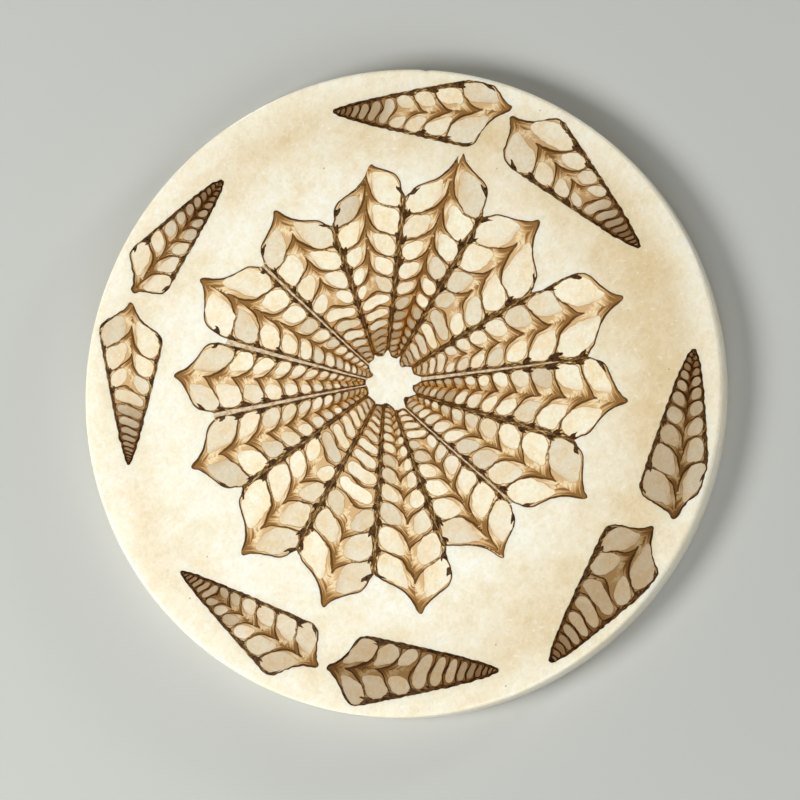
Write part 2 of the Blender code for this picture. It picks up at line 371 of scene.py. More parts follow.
# Every chamber from the outermost in, on alternate sides.  A pair is one whorl
def chamberList(shell):
    chambers = []
    first = scale = shell.outer - shell.virtual
    side = shell.lead
    while scale > whorls["smallest"] and len(chambers) < whorls["most"]:
        pair = len(chambers) // 2
        lead = first * shell.growth ** (2 * pair)
        node = lead / shell.growth ** 2 * whorls["nodeBack"]
        if shell.tailed:
            node = whorls["tipShare"] * scale
        if pair == 0:
            node = shell.length - shell.virtual
        chambers.append(SimpleNamespace(
            side=side, scale=scale, station=shell.virtual + scale, node=node, pair=pair,
            mergedPair=shell.virtual + lead < shell.merged))
        scale *= shell.growth
        side = -side
    return chambers


# Station of a chamber's far wall at its reach, the distance from the columella
def armAt(shell, chamber, reach):
    scale = chamber.scale
    if chamber.pair == 0:  # the slice's own lip
        lip = shell.lip[chamber.side]
        core = coreAt(shell, chamber.station)
        across = chamber.side * (core + chamber.side * reach)
        return np.interp(across, np.abs(lip[::-1, 1]), lip[::-1, 0])
    share = np.maximum(reach, 0) / scale
    station = scale * (whorls["tipShare"] - whorls["sweep"] * share ** whorls["power"])
    station = station + (chamber.node - whorls["tipShare"] * scale) * np.exp(-share / whorls["nodeReach"])
    if shell.tailed:
        station = station + whorls["tail"] * scale * np.exp(-share / whorls["tailWidth"])
    return station + shell.virtual


# The same at a signed place across the shell, with merged whorls as one bent line
def septumAt(shell, chamber, place, core=0.0):
    reach = (place - core) * chamber.side
    if not chamber.mergedPair:
        return armAt(shell, chamber, reach)
    scale = chamber.scale if chamber.side == shell.lead else chamber.scale / shell.growth
    lean = smoothstep(-whorls["turn"], whorls["turn"], (place - core) * shell.lead / scale)
    scale = scale * (shell.growth + (1 - shell.growth) * lean)
    share = np.sqrt(((place - core) / scale) ** 2 + whorls["waist"] ** 2)
    least, more = whorls["arch"]
    arch = least + more * smoothstep(*whorls["archSizes"], scale / (shell.merged - shell.virtual))
    middle = whorls["archMiddle"] ** whorls["power"]
    drop = arch * whorls["sweep"] * (share ** whorls["power"] - middle)
    return shell.virtual + scale * (whorls["tipShare"] - whorls["sweep"] * middle - drop)


# How far the slice's edge lies from the columella at a station
def reachAt(shell, side, station):
    return side * (side * wallAt(shell, side, station) - coreAt(shell, station))


# A point on a curve that runs from the columella to the outer wall, at a share of
# the way: a few rounds bring the guess to rest
def onCurve(shell, side, curve, share, inner, scale):
    station = curve(inner + share * 5.0)
    reach = inner
    for _ in range(6):
        outer = reachAt(shell, side, station) - wallRoom(shell, side, scale, station)
        reach = inner + share * max(outer - inner, 0.2)
        station = float(curve(reach))
    return station, float(coreAt(shell, station)) + side * reach


# The room that the walls take round each filling.  Of two numbers in brackets the
# first is millimetres and the second a share of the scale, unless a note says more
gaps = dict(
    septum=(0.1, 0.012),
    septumMost=0.32,
    nodeThick=0.060,  # how much thicker it is at the columella, and how far that reaches
    nodeSpread=0.070,
    inward=0.10,  # room towards the apex, more in the corner: how far, from where, power
    corner=(0.2, 0.15, 1.6),
    core=0.034,  # half the columella, and what oval chambers leave more
    ovalCore=0.014,
    wall=(0.35, 0.012),
    mergedWall=(0.4, 0.012),
    lipWall=0.25,  # on the thin lip, which starts about the shoulder
    lipPlaces=(-5.0, 0.5),
    oval=0.012,  # more room all round where the chambers are oval
    ovalPlaces=(0.45, 0.95),  # shares of the shell where ovals turn into rounded diamonds
    pinch=0.012,  # in the middle of a chamber that crosses the columella
    mergedLow=(0.10, 0.015),
    mergedHigh=(0.10, 0.022),
    jitter=0.008,
    least=0.45,  # between a filling and the slice's outline, and before the apex
    apex=0.8,
    spacing=(0.3, 0.45),  # of the points on a filling, finer on small ones
    mergedWaves=2.9,  # see roundLoop
    ovalWaves=2.2,
    youngWaves=4.4,
    wander=(0.35, 0.008),  # the most, and its share of the scale
    lowPlaces=(0.98, 0.85, 0.65, 0.45, 0.25, 0.08),  # corners of a filling, as shares of its width
    highPlaces=(0.0, 0.1, 0.25, 0.45, 0.65, 0.85, 0.98),
    mergedPlaces=(0.96, 0.8, 0.55, 0.3, 0.1, -0.1, -0.3, -0.55, -0.8, -0.96),
)


def grown(pair, scale):
    return pair[0] + pair[1] * scale


# How oval a chamber is: 0 for the largest, which fill their whorls, 1 for the oldest
def ovalOf(shell, scale):
    low, high = gaps["ovalPlaces"]
    return 1 - smoothstep(low, high, (shell.virtual + scale) / shell.length)


# A septum is thin near the outer wall and thickens towards the columella
def thickness(shell, chamber, reach):
    scale = chamber.scale
    thin = min(gaps["septumMost"], grown(gaps["septum"], scale))
    thin = thin + gaps["oval"] * scale * ovalOf(shell, scale)
    spread = np.exp(-np.maximum(reach, 0) / scale / gaps["nodeSpread"])
    return thin + gaps["nodeThick"] * scale * spread


# Room between a filling and the outer wall, less on the thin lip past the shoulder
def wallRoom(shell, side, scale, station):
    room = grown(gaps["wall"], scale) * shell.walls
    room = room + 0.8 * gaps["oval"] * scale * ovalOf(shell, scale)
    before, past = np.add(gaps["lipPlaces"], shell.lip[side][0, 0])
    return room + (gaps["lipWall"] - room) * smoothstep(before, past, station)


# Moves each corner a little, so that no two fillings are the same
def jittered(points, amount, draw):
    return points + np.array([[draw.uniform(-1, 1), draw.uniform(-1, 1)] for _ in points]) * amount


# A filling between the septum behind it and its own, from the columella outwards
def fillingLoop(shell, chamber, inward, draw):
    side, scale = chamber.side, chamber.scale
    oval = ovalOf(shell, scale)
    inner = (gaps["core"] + gaps["ovalCore"] * oval) * scale
    gap = gaps["inward"] + gaps["oval"] * oval * scale
    lift, start, power = gaps["corner"]

    def near(reach):
        return armAt(shell, inward, reach) + gap + lift * scale * max(reach / scale - start, 0) ** power

    def far(reach):
        return armAt(shell, chamber, reach) - thickness(shell, chamber, reach)

    low, high = [[onCurve(shell, side, curve, share, inner, scale) for share in gaps[places]]
                 for curve, places in ((near, "lowPlaces"), (far, "highPlaces"))]
    middle = ((low[-1][0] + high[0][0]) / 2, (low[-1][1] + high[0][1]) / 2)
    station = (low[0][0] + high[-1][0]) / 2
    outer = (station, side * (wallAt(shell, side, station) - wallRoom(shell, side, scale, station)))
    return jittered(np.array(low + [middle] + high + [outer]), gaps["jitter"] * scale, draw)


# A chamber cut where it crosses the columella: one bean from wall to wall
def mergedLoop(shell, chamber, inward, draw):
    scale = chamber.scale
    margin = grown(gaps["mergedWall"], scale) * shell.walls + gaps["oval"] * scale
    low, high = [], []
    for share in gaps["mergedPlaces"]:
        side = 1 if share > 0 else -1
        for line, curve in ((low, inward), (high, chamber)):
            station = chamber.station
            for _ in range(5):
                core = float(coreAt(shell, station))
                place = core + share * (wallAt(shell, side, station) - side * core - margin)
                station = float(septumAt(shell, curve, place, core))
            line.append([station, place])
    low, high = np.array(low), np.array(high)
    waist = gaps["pinch"] * scale * np.exp(-(low[:, 1] / (whorls["turn"] * scale)) ** 2)
    low[:, 0] += grown(gaps["mergedLow"], scale) + waist
    high[:, 0] -= grown(gaps["mergedHigh"], scale) + waist
    return jittered(np.vstack([low, high[::-1]]), 1.25 * gaps["jitter"] * scale, draw)


# The browns: how much of them a filling takes, and how far it is greyed
staining = dict(
    striped=(0.35, 0.65),  # in the brown tip, which ends about its place in the table
    stripedEdge=(-1.0, 2.5),
    wallEdge=(-6, 26),  # the same for the shell walls
    inner=0.22,  # near the apex, up to innerPlaces
    innerPlaces=(6.0, 42.0),
    spread=(-0.05, 0.1),
    worn=0.5,  # in a worn apex, up to wornPlaces
    wornPlaces=(3.0, 15.0),
    wornShade=3.0,
    wornReach=24.0,
    greying=0.5,  # the most: half of the fillings have it
)


# The pale fillings of a shell's chambers, with a tone from 0, clear, to 1, brown
def fillings(shell, draw):
    found = []
    chambers = shell.chambers
    for order, chamber in enumerate(chambers[:-2]):
        scale, station = chamber.scale, chamber.station
        if station < toLocal(shell, shell.loop)[:, 0].min() + gaps["apex"]:
            break
        if chamber.mergedPair:
            if chamber.side != shell.lead:
                continue
            loop = mergedLoop(shell, chamber, chambers[order + 2], draw)
            waves = gaps["mergedWaves"]
        else:
            loop = fillingLoop(shell, chamber, chambers[order + 2], draw)
            oval, young = gaps["ovalWaves"], gaps["youngWaves"]
            waves = oval + (young - oval) * (1 - ovalOf(shell, scale))
        loop = evenly(roundLoop(loop, waves), np.clip(0.01 * scale, *gaps["spacing"]))
        most, share = gaps["wander"]
        loop = wander(loop, min(most, share * scale), size=2.2, bias=0.0, seed=shell.seed + order)
        for side in (1, -1):
            mine = loop[:, 1] * side > 0
            room = wallAt(shell, side, loop[mine, 0]) - gaps["least"]
            loop[mine, 1] = side * np.minimum(np.abs(loop[mine, 1]), np.maximum(room, 0.05))
        striped = 1 - smoothstep(*np.add(staining["stripedEdge"], shell.striped), station)
        inner = 1 - smoothstep(*staining["innerPlaces"], station)
        tone = (striped * draw.uniform(*staining["striped"]) + staining["inner"] * inner
                + draw.uniform(*staining["spread"]))
        worn = shell.aged * (1 - smoothstep(*staining["wornPlaces"], station))
        tone = float(np.clip(tone + staining["worn"] * worn, 0, 1))
        found.append(SimpleNamespace(loop=loop, tone=tone, station=station))
    return found


# The near-black, ragged barbs on the outer wall, where the septa end.  Length and
# width are millimetres and a share of the scale
barbs = dict(
    outline=[(-0.7, -0.3), (-0.6, 0.2), (-0.25, 0.75), (0.15, 1.0), (0.5, 1.15), (1.0, 1.05),
             (0.75, 0.75), (0.5, 0.5), (0.75, 0.1), (0.9, -0.3), (0.2, -0.4)],
    ragged=0.13,
    length=(0.3, 0.038),
    width=(0.25, 0.022),
    size=(0.75, 1.35),
    start=0.04,  # past the septum's foot
    lip=(0.034, 0.028),  # length and width of the one on the lip, and how far it strays
    lipStart=(-0.04, 0.03),
    least=0.05,  # depth below the outline
    station=10.0,  # none nearer the apex, or in smaller chambers
    scale=13.0,
)


# One of them at a station, with its free end towards the lip
def barb(shell, side, station, length, width, inset, draw):
    ragged = barbs["ragged"]
    points = []
    for along, deep in barbs["outline"]:
        here = station + length * (along + draw.uniform(-ragged, ragged))
        depth = inset + width * (deep + draw.uniform(-ragged, ragged))
        points.append((here, side * (wallAt(shell, side, here) - max(depth, barbs["least"]))))
    return evenly(cutCorners(np.array(points), 1), whorls["smallSpacing"])


# A shell's barbs: one in each angle of septum and outer wall, and one on each lip
def darkSpots(shell, draw):
    spots = []
    for chamber in shell.chambers:
        side, scale, root = chamber.side, chamber.scale, chamber.station
        if root < barbs["station"] or scale < barbs["scale"]:
            break
        if chamber.pair == 0:
            root += scale * draw.uniform(*barbs["lipStart"])
            length, width = (share * scale for share in barbs["lip"])
            spots.append(barb(shell, side, root, length * shell.walls, width, barbs["least"], draw))
            continue
        root += barbs["start"] * scale
        for _ in range(4):
            root = float(armAt(shell, chamber, reachAt(shell, side, root)))
        size = draw.uniform(*barbs["size"]) * shell.walls ** 0.5
        inset = 0.5 * wallRoom(shell, side, scale, root)
        length, width = grown(barbs["length"], scale) * size, grown(barbs["width"], scale) * size
        spots.append(barb(shell, side, root, length, width, inset, draw))
    return spots


# How far points lie from the nearest of some lines
def nearest(points, lines):
    tree = treeOf(np.vstack(lines))
    return np.array([tree.find((x, y, 0.0))[2] for x, y in points])


# The far wall of every chamber as a line
def septumLines(shell):
    lines = []
    for chamber in shell.chambers:
        side = chamber.side
        if chamber.pair == 0:
            line = shell.lip[side]
        else:
            reach = (reachAt(shell, side, chamber.station) + 1.0) * np.linspace(0, 1, 60) ** 1.6
            station = np.array(septumAt(shell, chamber, side * reach))
            core = coreAt(shell, np.minimum(station, shell.length))
            line = np.column_stack([station, core + side * reach])
        lines.append(line)
    return lines


# The slice's face as a flat net of triangles, with what each triangle is: 0 shell
# wall, 1 filling, 2 dark stain, 3 slab stone
def slicePattern(shell, draw):
    outline = toLocal(shell, shell.loop)
    fills = fillings(shell, draw)
    spots = darkSpots(shell, draw)
    if shell.cleft:  # stone between two prongs of the tip
        cleft = evenly(np.array(shell.cleft), whorls["smallSpacing"])
        fills.append(SimpleNamespace(loop=cleft, tone=0.0, station=shell.length))
    lines = septumLines(shell)
    points, edges = [], []

    def addLine(line, closed):
        first = len(points)
        points.extend(tuple(p) for p in line)
        edges.extend((first + i, first + i + 1) for i in range(len(line) - 1))
        if closed:
            edges.append((len(points) - 1, first))

    for loop in [outline] + [fill.loop for fill in fills] + spots:
        addLine(loop, closed=True)
    for chamber, line in zip(shell.chambers, lines):
        if chamber.pair > 0 and chamber.scale > whorls["lined"]:
            addLine(evenly(line, whorls["spacing"], closed=False), closed=False)
    for fill in fills:  # a ring inside each, where the slope of its dip ends
        middle = fill.loop.mean(axis=0)
        shrunk = 1 - whorls["dipWidth"] / max(1.2, 0.07 * fill.station)
        points += [tuple(p) for p in (middle + (fill.loop - middle) * shrunk)[::2]]
    stations, places = [np.arange(outline[:, axis].min(), outline[:, axis].max(), whorls["gridSpacing"])
                        for axis in (0, 1)]
    stray = whorls["gridJitter"]
    for station in stations:
        for place in places:
            points.append((station + draw.uniform(-stray, stray), place + draw.uniform(-stray, stray)))
    made = delaunay_2d_cdt([Vector(p) for p in points], edges, [], 0, 1e-4)
    verts = np.array([tuple(v) for v in made[0]])
    triangles = np.array(made[2])
    centres = verts[triangles].mean(axis=1)
    kept = insideLoop(centres, outline)
    triangles, centres = triangles[kept], centres[kept]
    kinds = np.zeros(len(triangles), int)
    tones = np.zeros(len(triangles))
    worn = 1 - smoothstep(0.0, staining["wornReach"], centres[:, 0])
    # shade: each shell's own darkening, partly painted shadow over the disc's lower right, and more in a
    # worn apex
    shades = shell.shade + staining["wornShade"] * shell.aged * worn
    grey = staining["greying"]
    for fill in fills:
        inside = insideLoop(centres, fill.loop)
        kinds[inside], tones[inside] = 1, fill.tone
        shades[inside] += max(0.0, draw.uniform(-grey, grey))
    for spot in spots:
        kinds[insideLoop(centres, spot)] = 2
    if shell.cleft:
        kinds[insideLoop(centres, cleft)] = 3
    return SimpleNamespace(verts=verts, triangles=triangles, kinds=kinds, tones=tones, shades=shades,
                           fills=fills, lines=lines)


# The same places, wandering: growth is never as regular as its rule
def warped(shell, points):
    edge = nearest(points, [evenly(toLocal(shell, shell.loop), whorls["finestSpacing"])])
    width, length = whorls["calm"]
    calm = smoothstep(0.0, width, edge) * smoothstep(0.0, length, points[:, 0] - shell.virtual)
    moved = points.copy()
    for amount, size in whorls["warp"]:
        for axis in (0, 1):
            seed = shell.seed + 40.0 * (axis + 1)
            shift = np.array([noise.noise(Vector((x / size, y / size, seed))) for x, y in points])
            moved[:, axis] += amount * whorls["warpGain"] * shift * calm
    return moved


# What the shaders need to know at each corner.  septum: distance to the nearest one,
# share of the next one's thickness, distance to the nearest filling.  place: run of
# the fibres, station, share of the outer wall.  whorl: nearness of the node, size, brown
def fieldsOf(shell, pattern):
    verts, triangles = pattern.verts, pattern.triangles
    centres = verts[triangles].mean(axis=1)
    finest = whorls["finestSpacing"]
    core = coreAt(shell, centres[:, 0])
    sides = np.where(centres[:, 1] > core, 1, -1)
    ahead, back = np.full((2, len(triangles)), -1)
    aheadPlace, backPlace = np.full(len(triangles), 1e9), np.full(len(triangles), -1e9)
    for index, chamber in enumerate(shell.chambers):
        place = septumAt(shell, chamber, centres[:, 1], core)
        mine = sides == chamber.side
        near = mine & (place >= centres[:, 0]) & (place < aheadPlace)
        ahead[near], aheadPlace[near] = index, place[near]
        far = mine & (place < centres[:, 0]) & (place > backPlace)
        back[far], backPlace[far] = index, place[far]
    # far from any septum until one is found
    behind, front, share, fibre, node = [
        np.full(triangles.shape, value) for value in (9.0, 9.0, 2.0, 0.0, 0.0)]
    for store, owner in ((behind, ahead), (front, back)):
        for index, chamber in enumerate(shell.chambers):
            rows = np.nonzero(owner == index)[0]
            if len(rows) == 0:
                continue
            line = evenly(pattern.lines[index], finest, closed=False)
            corners = np.unique(triangles[rows])
            lookup = np.zeros(len(verts))
            lookup[corners] = nearest(verts[corners], [line])
            store[rows] = lookup[triangles[rows]] * (whorls["lipSkin"] if chamber.pair == 0 else 1.0)
            if store is behind:
                reach = np.abs(verts[:, 1] - coreAt(shell, verts[:, 0]))
                share[rows] = (lookup / thickness(shell, chamber, reach))[triangles[rows]]
                fibre[rows] = (reach + 37.0 * index)[triangles[rows]]  # each whorl has its own fibres
                least = whorls["lipDark"] if chamber.pair == 0 else 0.0
                most = 0.0 if chamber.mergedPair else 1.0  # these have no node inside
                filled = (pattern.kinds[rows] == 1)[:, None]
                depth = np.exp(-reach / chamber.scale / whorls["nodeDark"])[triangles[rows]]
                node[rows] = np.where(filled, most * depth, np.maximum(depth, least))
    edge = nearest(verts, [evenly(fill.loop, finest) for fill in pattern.fills])
    flank = nearest(verts, [evenly(shell.flank[side], finest, closed=False) for side in (1, -1)])
    station = verts[triangles][:, :, 0]
    size = station - shell.virtual
    outer = flank[triangles] / (grown(whorls["outerWall"], size) * shell.walls)
    brown = 1 - smoothstep(*np.add(staining["wallEdge"], shell.striped), station)
    return dict(septum=(np.minimum(behind, front), share, edge[triangles]),
                place=(fibre, station, outer), whorl=(node, size, brown))


print("materials")

# Polished calcite: crystals one to three millimetres across under a wax-smooth
# face, paler or darker as each lies, with light that sinks in a few millimetres
slab = dict(
    crystal=2.4 * mm,
    crystalTones=("#F5F3E9", "#FBFAF3", "#FFFFFF"),
    grain=0.9 * mm,
    grainTones=("#F1ECDC", "#FAF8EF", "#FFFFFF"),
    cloud=14 * mm,
    needle=(0.8 * mm, 5.0 * mm),  # pale streaks, across and along
    needleTurn=0.6,  # radians
    # glint: white flecks of painted highlight, sparkles of light on the polish
    glint=1.6 * mm,
    glintColour="#FFFFFA",
    speck=7 * mm,  # spacing of the places where a dark speck may lie
    speckColour="#8A6F4A",
    white="#FFFEF8",
    cream="#FFFBF1",
    honey="#FAF2E0",
    # rim to glow: the stone is tanner and darker towards the rim, away from a pale middle. This is partly
    # its own tan and partly painted shade where less light came through it. The glow is painted glow that
    # pales the rim again, as if lit through from behind
    rim="#E7D7BB",  # tanner stone towards the rim
    core=(-12 * mm, -4 * mm, 0.0),  # middle of the pale part
    shadeReach=(50 * mm, 96 * mm),  # where it starts and ends, and how far clouds shift it
    shift=-18 * mm,
    glow=(86 * mm, 99 * mm),  # where the rim pales again, as light comes through
    roughness=0.16,
    sink=2.5 * mm,
)


def polishedCalcite():
    material, add = newMaterial("polishedCalcite")
    place = add("TexCoord").outputs["Object"]
    clouds = add("TexNoise", {
        "Vector": place, "Scale": 1 / slab["cloud"], "Detail": 5.0, "Roughness": 0.65})
    base = add("ValToRGB", {"Fac": clouds}, stops=[
        (0.34, slab["honey"]), (0.5, slab["cream"]), (0.62, slab["white"])])

    # painted shade: tanner and darker away from the pale middle, partly the stone's own tan; painted glow
    # pales the rim again
    away = add("VectorMath", (place, slab["core"]), "DISTANCE").outputs["Value"]
    stray = add("Math", (clouds, slab["shift"], away), "MULTIPLY_ADD")
    first, last = slab["shadeReach"]
    tanAndShade = add("MapRange", (stray, first, last, 0.0, 0.95), "SMOOTHSTEP")
    radius = add("VectorMath", (place,), "LENGTH").outputs["Value"]
    first, last = slab["glow"]
    shadeUnderGlow = add("MapRange", (radius, first, last, 1.0, 0.2), "SMOOTHSTEP")
    tanAndShade = add("Math", (tanAndShade, shadeUnderGlow), "MULTIPLY")
    colour = add("Mix", (tanAndShade, base, slab["rim"]), "MULTIPLY")

    # each crystal and grain has its own tone
    for kind, middle, share in (("crystal", 0.6, 0.7), ("grain", 0.5, 0.6)):
        cells = add("TexVoronoi", {"Vector": place, "Scale": 1 / slab[kind]})
        tone = add("ValToRGB", {"Fac": cells.outputs["Color"]},
                   stops=list(zip((0.0, middle, 1.0), slab[kind + "Tones"])))
        colour = add("Mix", (share, colour, tone), "MULTIPLY")

    # pale needles and painted glints (white flecks of painted highlight), and here and there a dark speck
    across, along = slab["needle"]
    lie = add("Mapping", {"Vector": place, "Rotation": (0.0, 0.0, slab["needleTurn"]),
                          "Scale": (1 / along, 1 / across, 1 / across)})
    needles = add("TexNoise", {"Vector": lie, "Scale": 1.0, "Detail": 2.0})
    glints = add("TexNoise", {"Vector": place, "Scale": 1 / slab["glint"], "Detail": 3.0})
    for pale, low, high in ((needles, 0.68, 0.78), (glints, 0.62, 0.8)):
        glint = add("MapRange", (pale, low, high, 0.0, 0.5))
        colour = add("Mix", (glint, colour, slab["glintColour"]))
    specks = add("TexVoronoi", {"Vector": place, "Scale": 1 / slab["speck"]})
    tiny = add("MapRange", (specks, 0.025, 0.05, 0.65, 0.0))
    colour = add("Mix", (tiny, colour, slab["speckColour"]))
    return finishMaterial(material, {
        "Base Color": colour, "Roughness": slab["roughness"], "IOR": 1.49, "Subsurface Weight": 0.3,
        "Subsurface Radius": (1.0, 0.75, 0.5), "Subsurface Scale": slab["sink"]})


# Fossil snail shell: aragonite turned to fibrous brown calcite, sliced, ground and
# polished.  Its fibres run along each whorl's wall, and iron stains the outer skin
wall = dict(
    skin="#50320B",
    skinInside="#6A4216",  # the same by the columella
    body=("#8F6839", "#BD935E", "#DDBB89", "#F5E2BA", "#ECD0A4", "#D8B482"),  # from the skin in
    bodyPlaces=(0.0, 0.13, 0.34, 0.6, 0.8, 1.0),
    outline="#664818",
    stain="#D2B382",  # colours the old whorls by multiplying
    # shade darkens whole shells: partly painted shadow over the disc's lower right, and worn apexes
    shade="#A0937D",  # and whole shells
    splinters=("#442A0B", "#785627", "#B79154", "#EAD3A0"),
    splinterPlaces=(0.46, 0.54, 0.60, 0.66),
    splinterSize=(4.2, 0.5, 1.0),  # to the millimetre, across the wall and along it
    skinWidth=0.20,  # half of it, millimetres
    wornWidth=0.17,  # more of it on a worn apex
    outlineWidth=0.25,
    fibre=(0.42, 7.0),  # width and length
    roughness=0.16,
)


def shellWall():
    material, add = newMaterial("polishedShellWall")
    line, share, edge, fibre, station, flank, node, size, brown = [
        socket for field in ("septum", "place", "whorl") for socket in add("SeparateXYZ", {
            0: add("Attribute", attribute_name=field).outputs["Vector"]}).outputs]
    shade = add("Attribute", attribute_name="shade").outputs["Fac"]

    # fibres: a noise drawn out along the wall
    lie = add("CombineXYZ", (line, fibre, 0.0))
    width, length = wall["fibre"]
    lie = add("VectorMath", (lie, (1 / width, 1 / length, 1.0)), "MULTIPLY")
    fibres = add("TexNoise", {"Vector": lie, "Scale": 1.0, "Detail": 3.0, "Roughness": 0.5})
    stray = add("Math", (fibres, 0.5), "SUBTRACT")
    depth = add("Math", (stray, 3.0, share), "MULTIPLY_ADD")
    depth = add("Math", (node, -0.7, depth), "MULTIPLY_ADD")
    depth = add("Math", (depth, 0.6), "MULTIPLY")
    colour = add("ValToRGB", {"Fac": depth}, stops=list(zip(wall["bodyPlaces"], wall["body"])))

    # a brown line round each chamber, fading towards the columella
    strength = add("MapRange", (node, 0.05, 0.5, 0.85, 0.25))
    rounding = add("MapRange", (edge, 0.06, wall["outlineWidth"], strength, 0.0), "SMOOTHSTEP")
    colour = add("Mix", (rounding, colour, wall["outline"]))

    # the dark skin, wider at the node and in a worn apex, where the shade passes 1
    width = add("MapRange", (size, 8.0, 42.0, 0.02, wall["skinWidth"]))
    worn = add("MapRange", (shade, 1.0, 2.0, 0.0, wall["wornWidth"]))
    width = add("Math", (worn, width), "ADD")
    width = add("Math", (node, 0.14, width), "MULTIPLY_ADD")
    width = add("Math", (stray, 0.9, width), "MULTIPLY_ADD")
    inside = add("Math", (width, line), "SUBTRACT")
    skin = add("MapRange", (inside, -0.09, 0.07, 0.0, 0.95), "SMOOTHSTEP")
    inward = add("MapRange", (node, 0.4, 1.0, 0.0, 1.0))
    skinTone = add("Mix", (inward, wall["skin"], wall["skinInside"]))
    colour = add("Mix", (skin, colour, skinTone))

    # the outer wall: dark and tan splinters side by side
    lie = add("CombineXYZ", (flank, station, 0.0))
    lie = add("VectorMath", (lie, wall["splinterSize"]), "MULTIPLY")
    splinters = add("TexNoise", {"Vector": lie, "Scale": 1.0, "Detail": 3.0, "Distortion": 0.6})
    braid = add("ValToRGB", {"Fac": splinters}, stops=list(zip(wall["splinterPlaces"], wall["splinters"])))
    reach = add("Math", (splinters, 0.8, flank), "MULTIPLY_ADD")
    outer = add("MapRange", (reach, 1.15, 1.45, 0.95, 0.0), "SMOOTHSTEP")
    colour = add("Mix", (outer, colour, braid))

    # the old whorls near the apex are stained through
    colour = add("Mix", (brown, colour, wall["stain"]), "MULTIPLY")
    # whole shells darker by their shade: partly painted shadow, and their worn apexes
    colour = add("Mix", (shade, colour, wall["shade"]), "MULTIPLY")
    return finishMaterial(material, {"Base Color": colour, "Roughness": wall["roughness"], "IOR": 1.5})


# Sparry calcite that fills the chambers: clear cream grains, stained at the walls
spar = dict(
    clear="#FFF9E4",
    cream="#FDEDCB",
    tan="#D6AE79",
    brown="#A68A62",
    # shade darkens the fillings: partly painted shadow on whole shells, and greyed fillings
    shade="#C5B9AD",
    cloud=5 * mm,
    grain=0.9 * mm,
    grainTones=("#ECE4D4", "#FFFFFF"),
    # glint: white flecks of painted highlight on the grains
    glint=0.8 * mm,
    glintColour="#FFFFF6",
    rimWidth=0.30,  # of the stain at the walls, millimetres
    roughness=0.18,
    sink=1.5 * mm,
)


def chamberSpar():
    material, add = newMaterial("polishedChamberSpar")
    place = add("TexCoord").outputs["Object"]
    tone, shade = [add("Attribute", attribute_name=name).outputs["Fac"] for name in ("tone", "shade")]
    septum, whorl = [add("SeparateXYZ", {
        0: add("Attribute", attribute_name=name).outputs["Vector"]}) for name in ("septum", "whorl")]
    clouds = add("TexNoise", {"Vector": place, "Scale": 1 / spar["cloud"], "Detail": 5.0})
    colour = add("ValToRGB", {"Fac": clouds}, stops=[(0.36, spar["cream"]), (0.58, spar["clear"])])
    grains = add("TexVoronoi", {"Vector": place, "Scale": 1 / spar["grain"]})
    grainTone = add("ValToRGB", {"Fac": grains.outputs["Color"]},
                    stops=list(zip((0.0, 1.0), spar["grainTones"])))
    colour = add("Mix", (0.6, colour, grainTone), "MULTIPLY")
    # painted glints: white flecks of painted highlight
    glints = add("TexNoise", {"Vector": place, "Scale": 1 / spar["glint"], "Detail": 2.0})
    glint = add("MapRange", (glints, 0.6, 0.72, 0.0, 0.8))
    colour = add("Mix", (glint, colour, spar["glintColour"]))

    # tan at the walls and clouded with it towards the columella
    rim = add("MapRange", (septum.outputs[2], 0.0, spar["rimWidth"], 0.6, 0.0), "SMOOTHSTEP")
    inward = add("Math", (clouds, 0.5, whorl), "MULTIPLY_ADD")
    inward = add("MapRange", (inward, 0.42, 1.0, 0.0, 0.65), "SMOOTHSTEP")
    rim = add("Math", (rim, inward), "MAXIMUM")
    colour = add("Mix", (rim, colour, spar["tan"]))
    colour = add("Mix", (tone, colour, spar["brown"]))
    # fillings darker by the shade: partly painted shadow on whole shells, partly their own grey
    colour = add("Mix", (shade, colour, spar["shade"]), "MULTIPLY")
    return finishMaterial(material, {
        "Base Color": colour, "Roughness": spar["roughness"], "IOR": 1.49, "Subsurface Weight": 0.2,
        "Subsurface Radius": (1.0, 0.75, 0.5), "Subsurface Scale": spar["sink"]})


# Mud that set hard in the angles of the whorls, and the cement squeezed up between
# two slices, brown where they touch and pinkish where they do not: both polished
# with the shells, mottled and a little duller than them.  Each row gives the dark
# and the light tone with their places, the mottling's size and detail, roughness
mottled = dict(
    darkShellMatrix=((0.35, "#2B1907"), (0.65, "#5E3E19"), 0.9 * mm, 3.0, 0.25),
    brownSeamCement=((0.38, "#3A240F"), (0.6, "#8A6236"), 1.2 * mm, 4.0, 0.2),
    pinkSeamCement=((0.38, "#B99F80"), (0.6, "#E2D0B4"), 1.2 * mm, 4.0, 0.2),
)


def mottledFilling(name):
    dark, light, size, detail, roughness = mottled[name]
    material, add = newMaterial(name)
    place = add("TexCoord").outputs["Object"]
    clouds = add("TexNoise", {"Vector": place, "Scale": 1 / size, "Detail": detail})
    base = add("ValToRGB", {"Fac": clouds}, stops=[dark, light])
    return finishMaterial(material, {"Base Color": base, "Roughness": roughness, "IOR": 1.5})


stone = polishedCalcite()
darkMatrix, closedSeam, openSeam = [mottledFilling(name) for name in mottled]
sliceMaterials = [shellWall(), chamberSpar(), darkMatrix, stone]


print("slices")


# Sinks the open border of a face to a depth and gives the edges that it ends in
def sinkBorder(shape, depth):
    border = [edge for edge in shape.edges if edge.is_boundary]
    sunk = bmesh.ops.extrude_edge_only(shape, edges=border)["geom"]
    for item in sunk:
        if isinstance(item, bmesh.types.BMVert):
            item.co.z = depth
    return [item for item in sunk if isinstance(item, bmesh.types.BMEdge)]


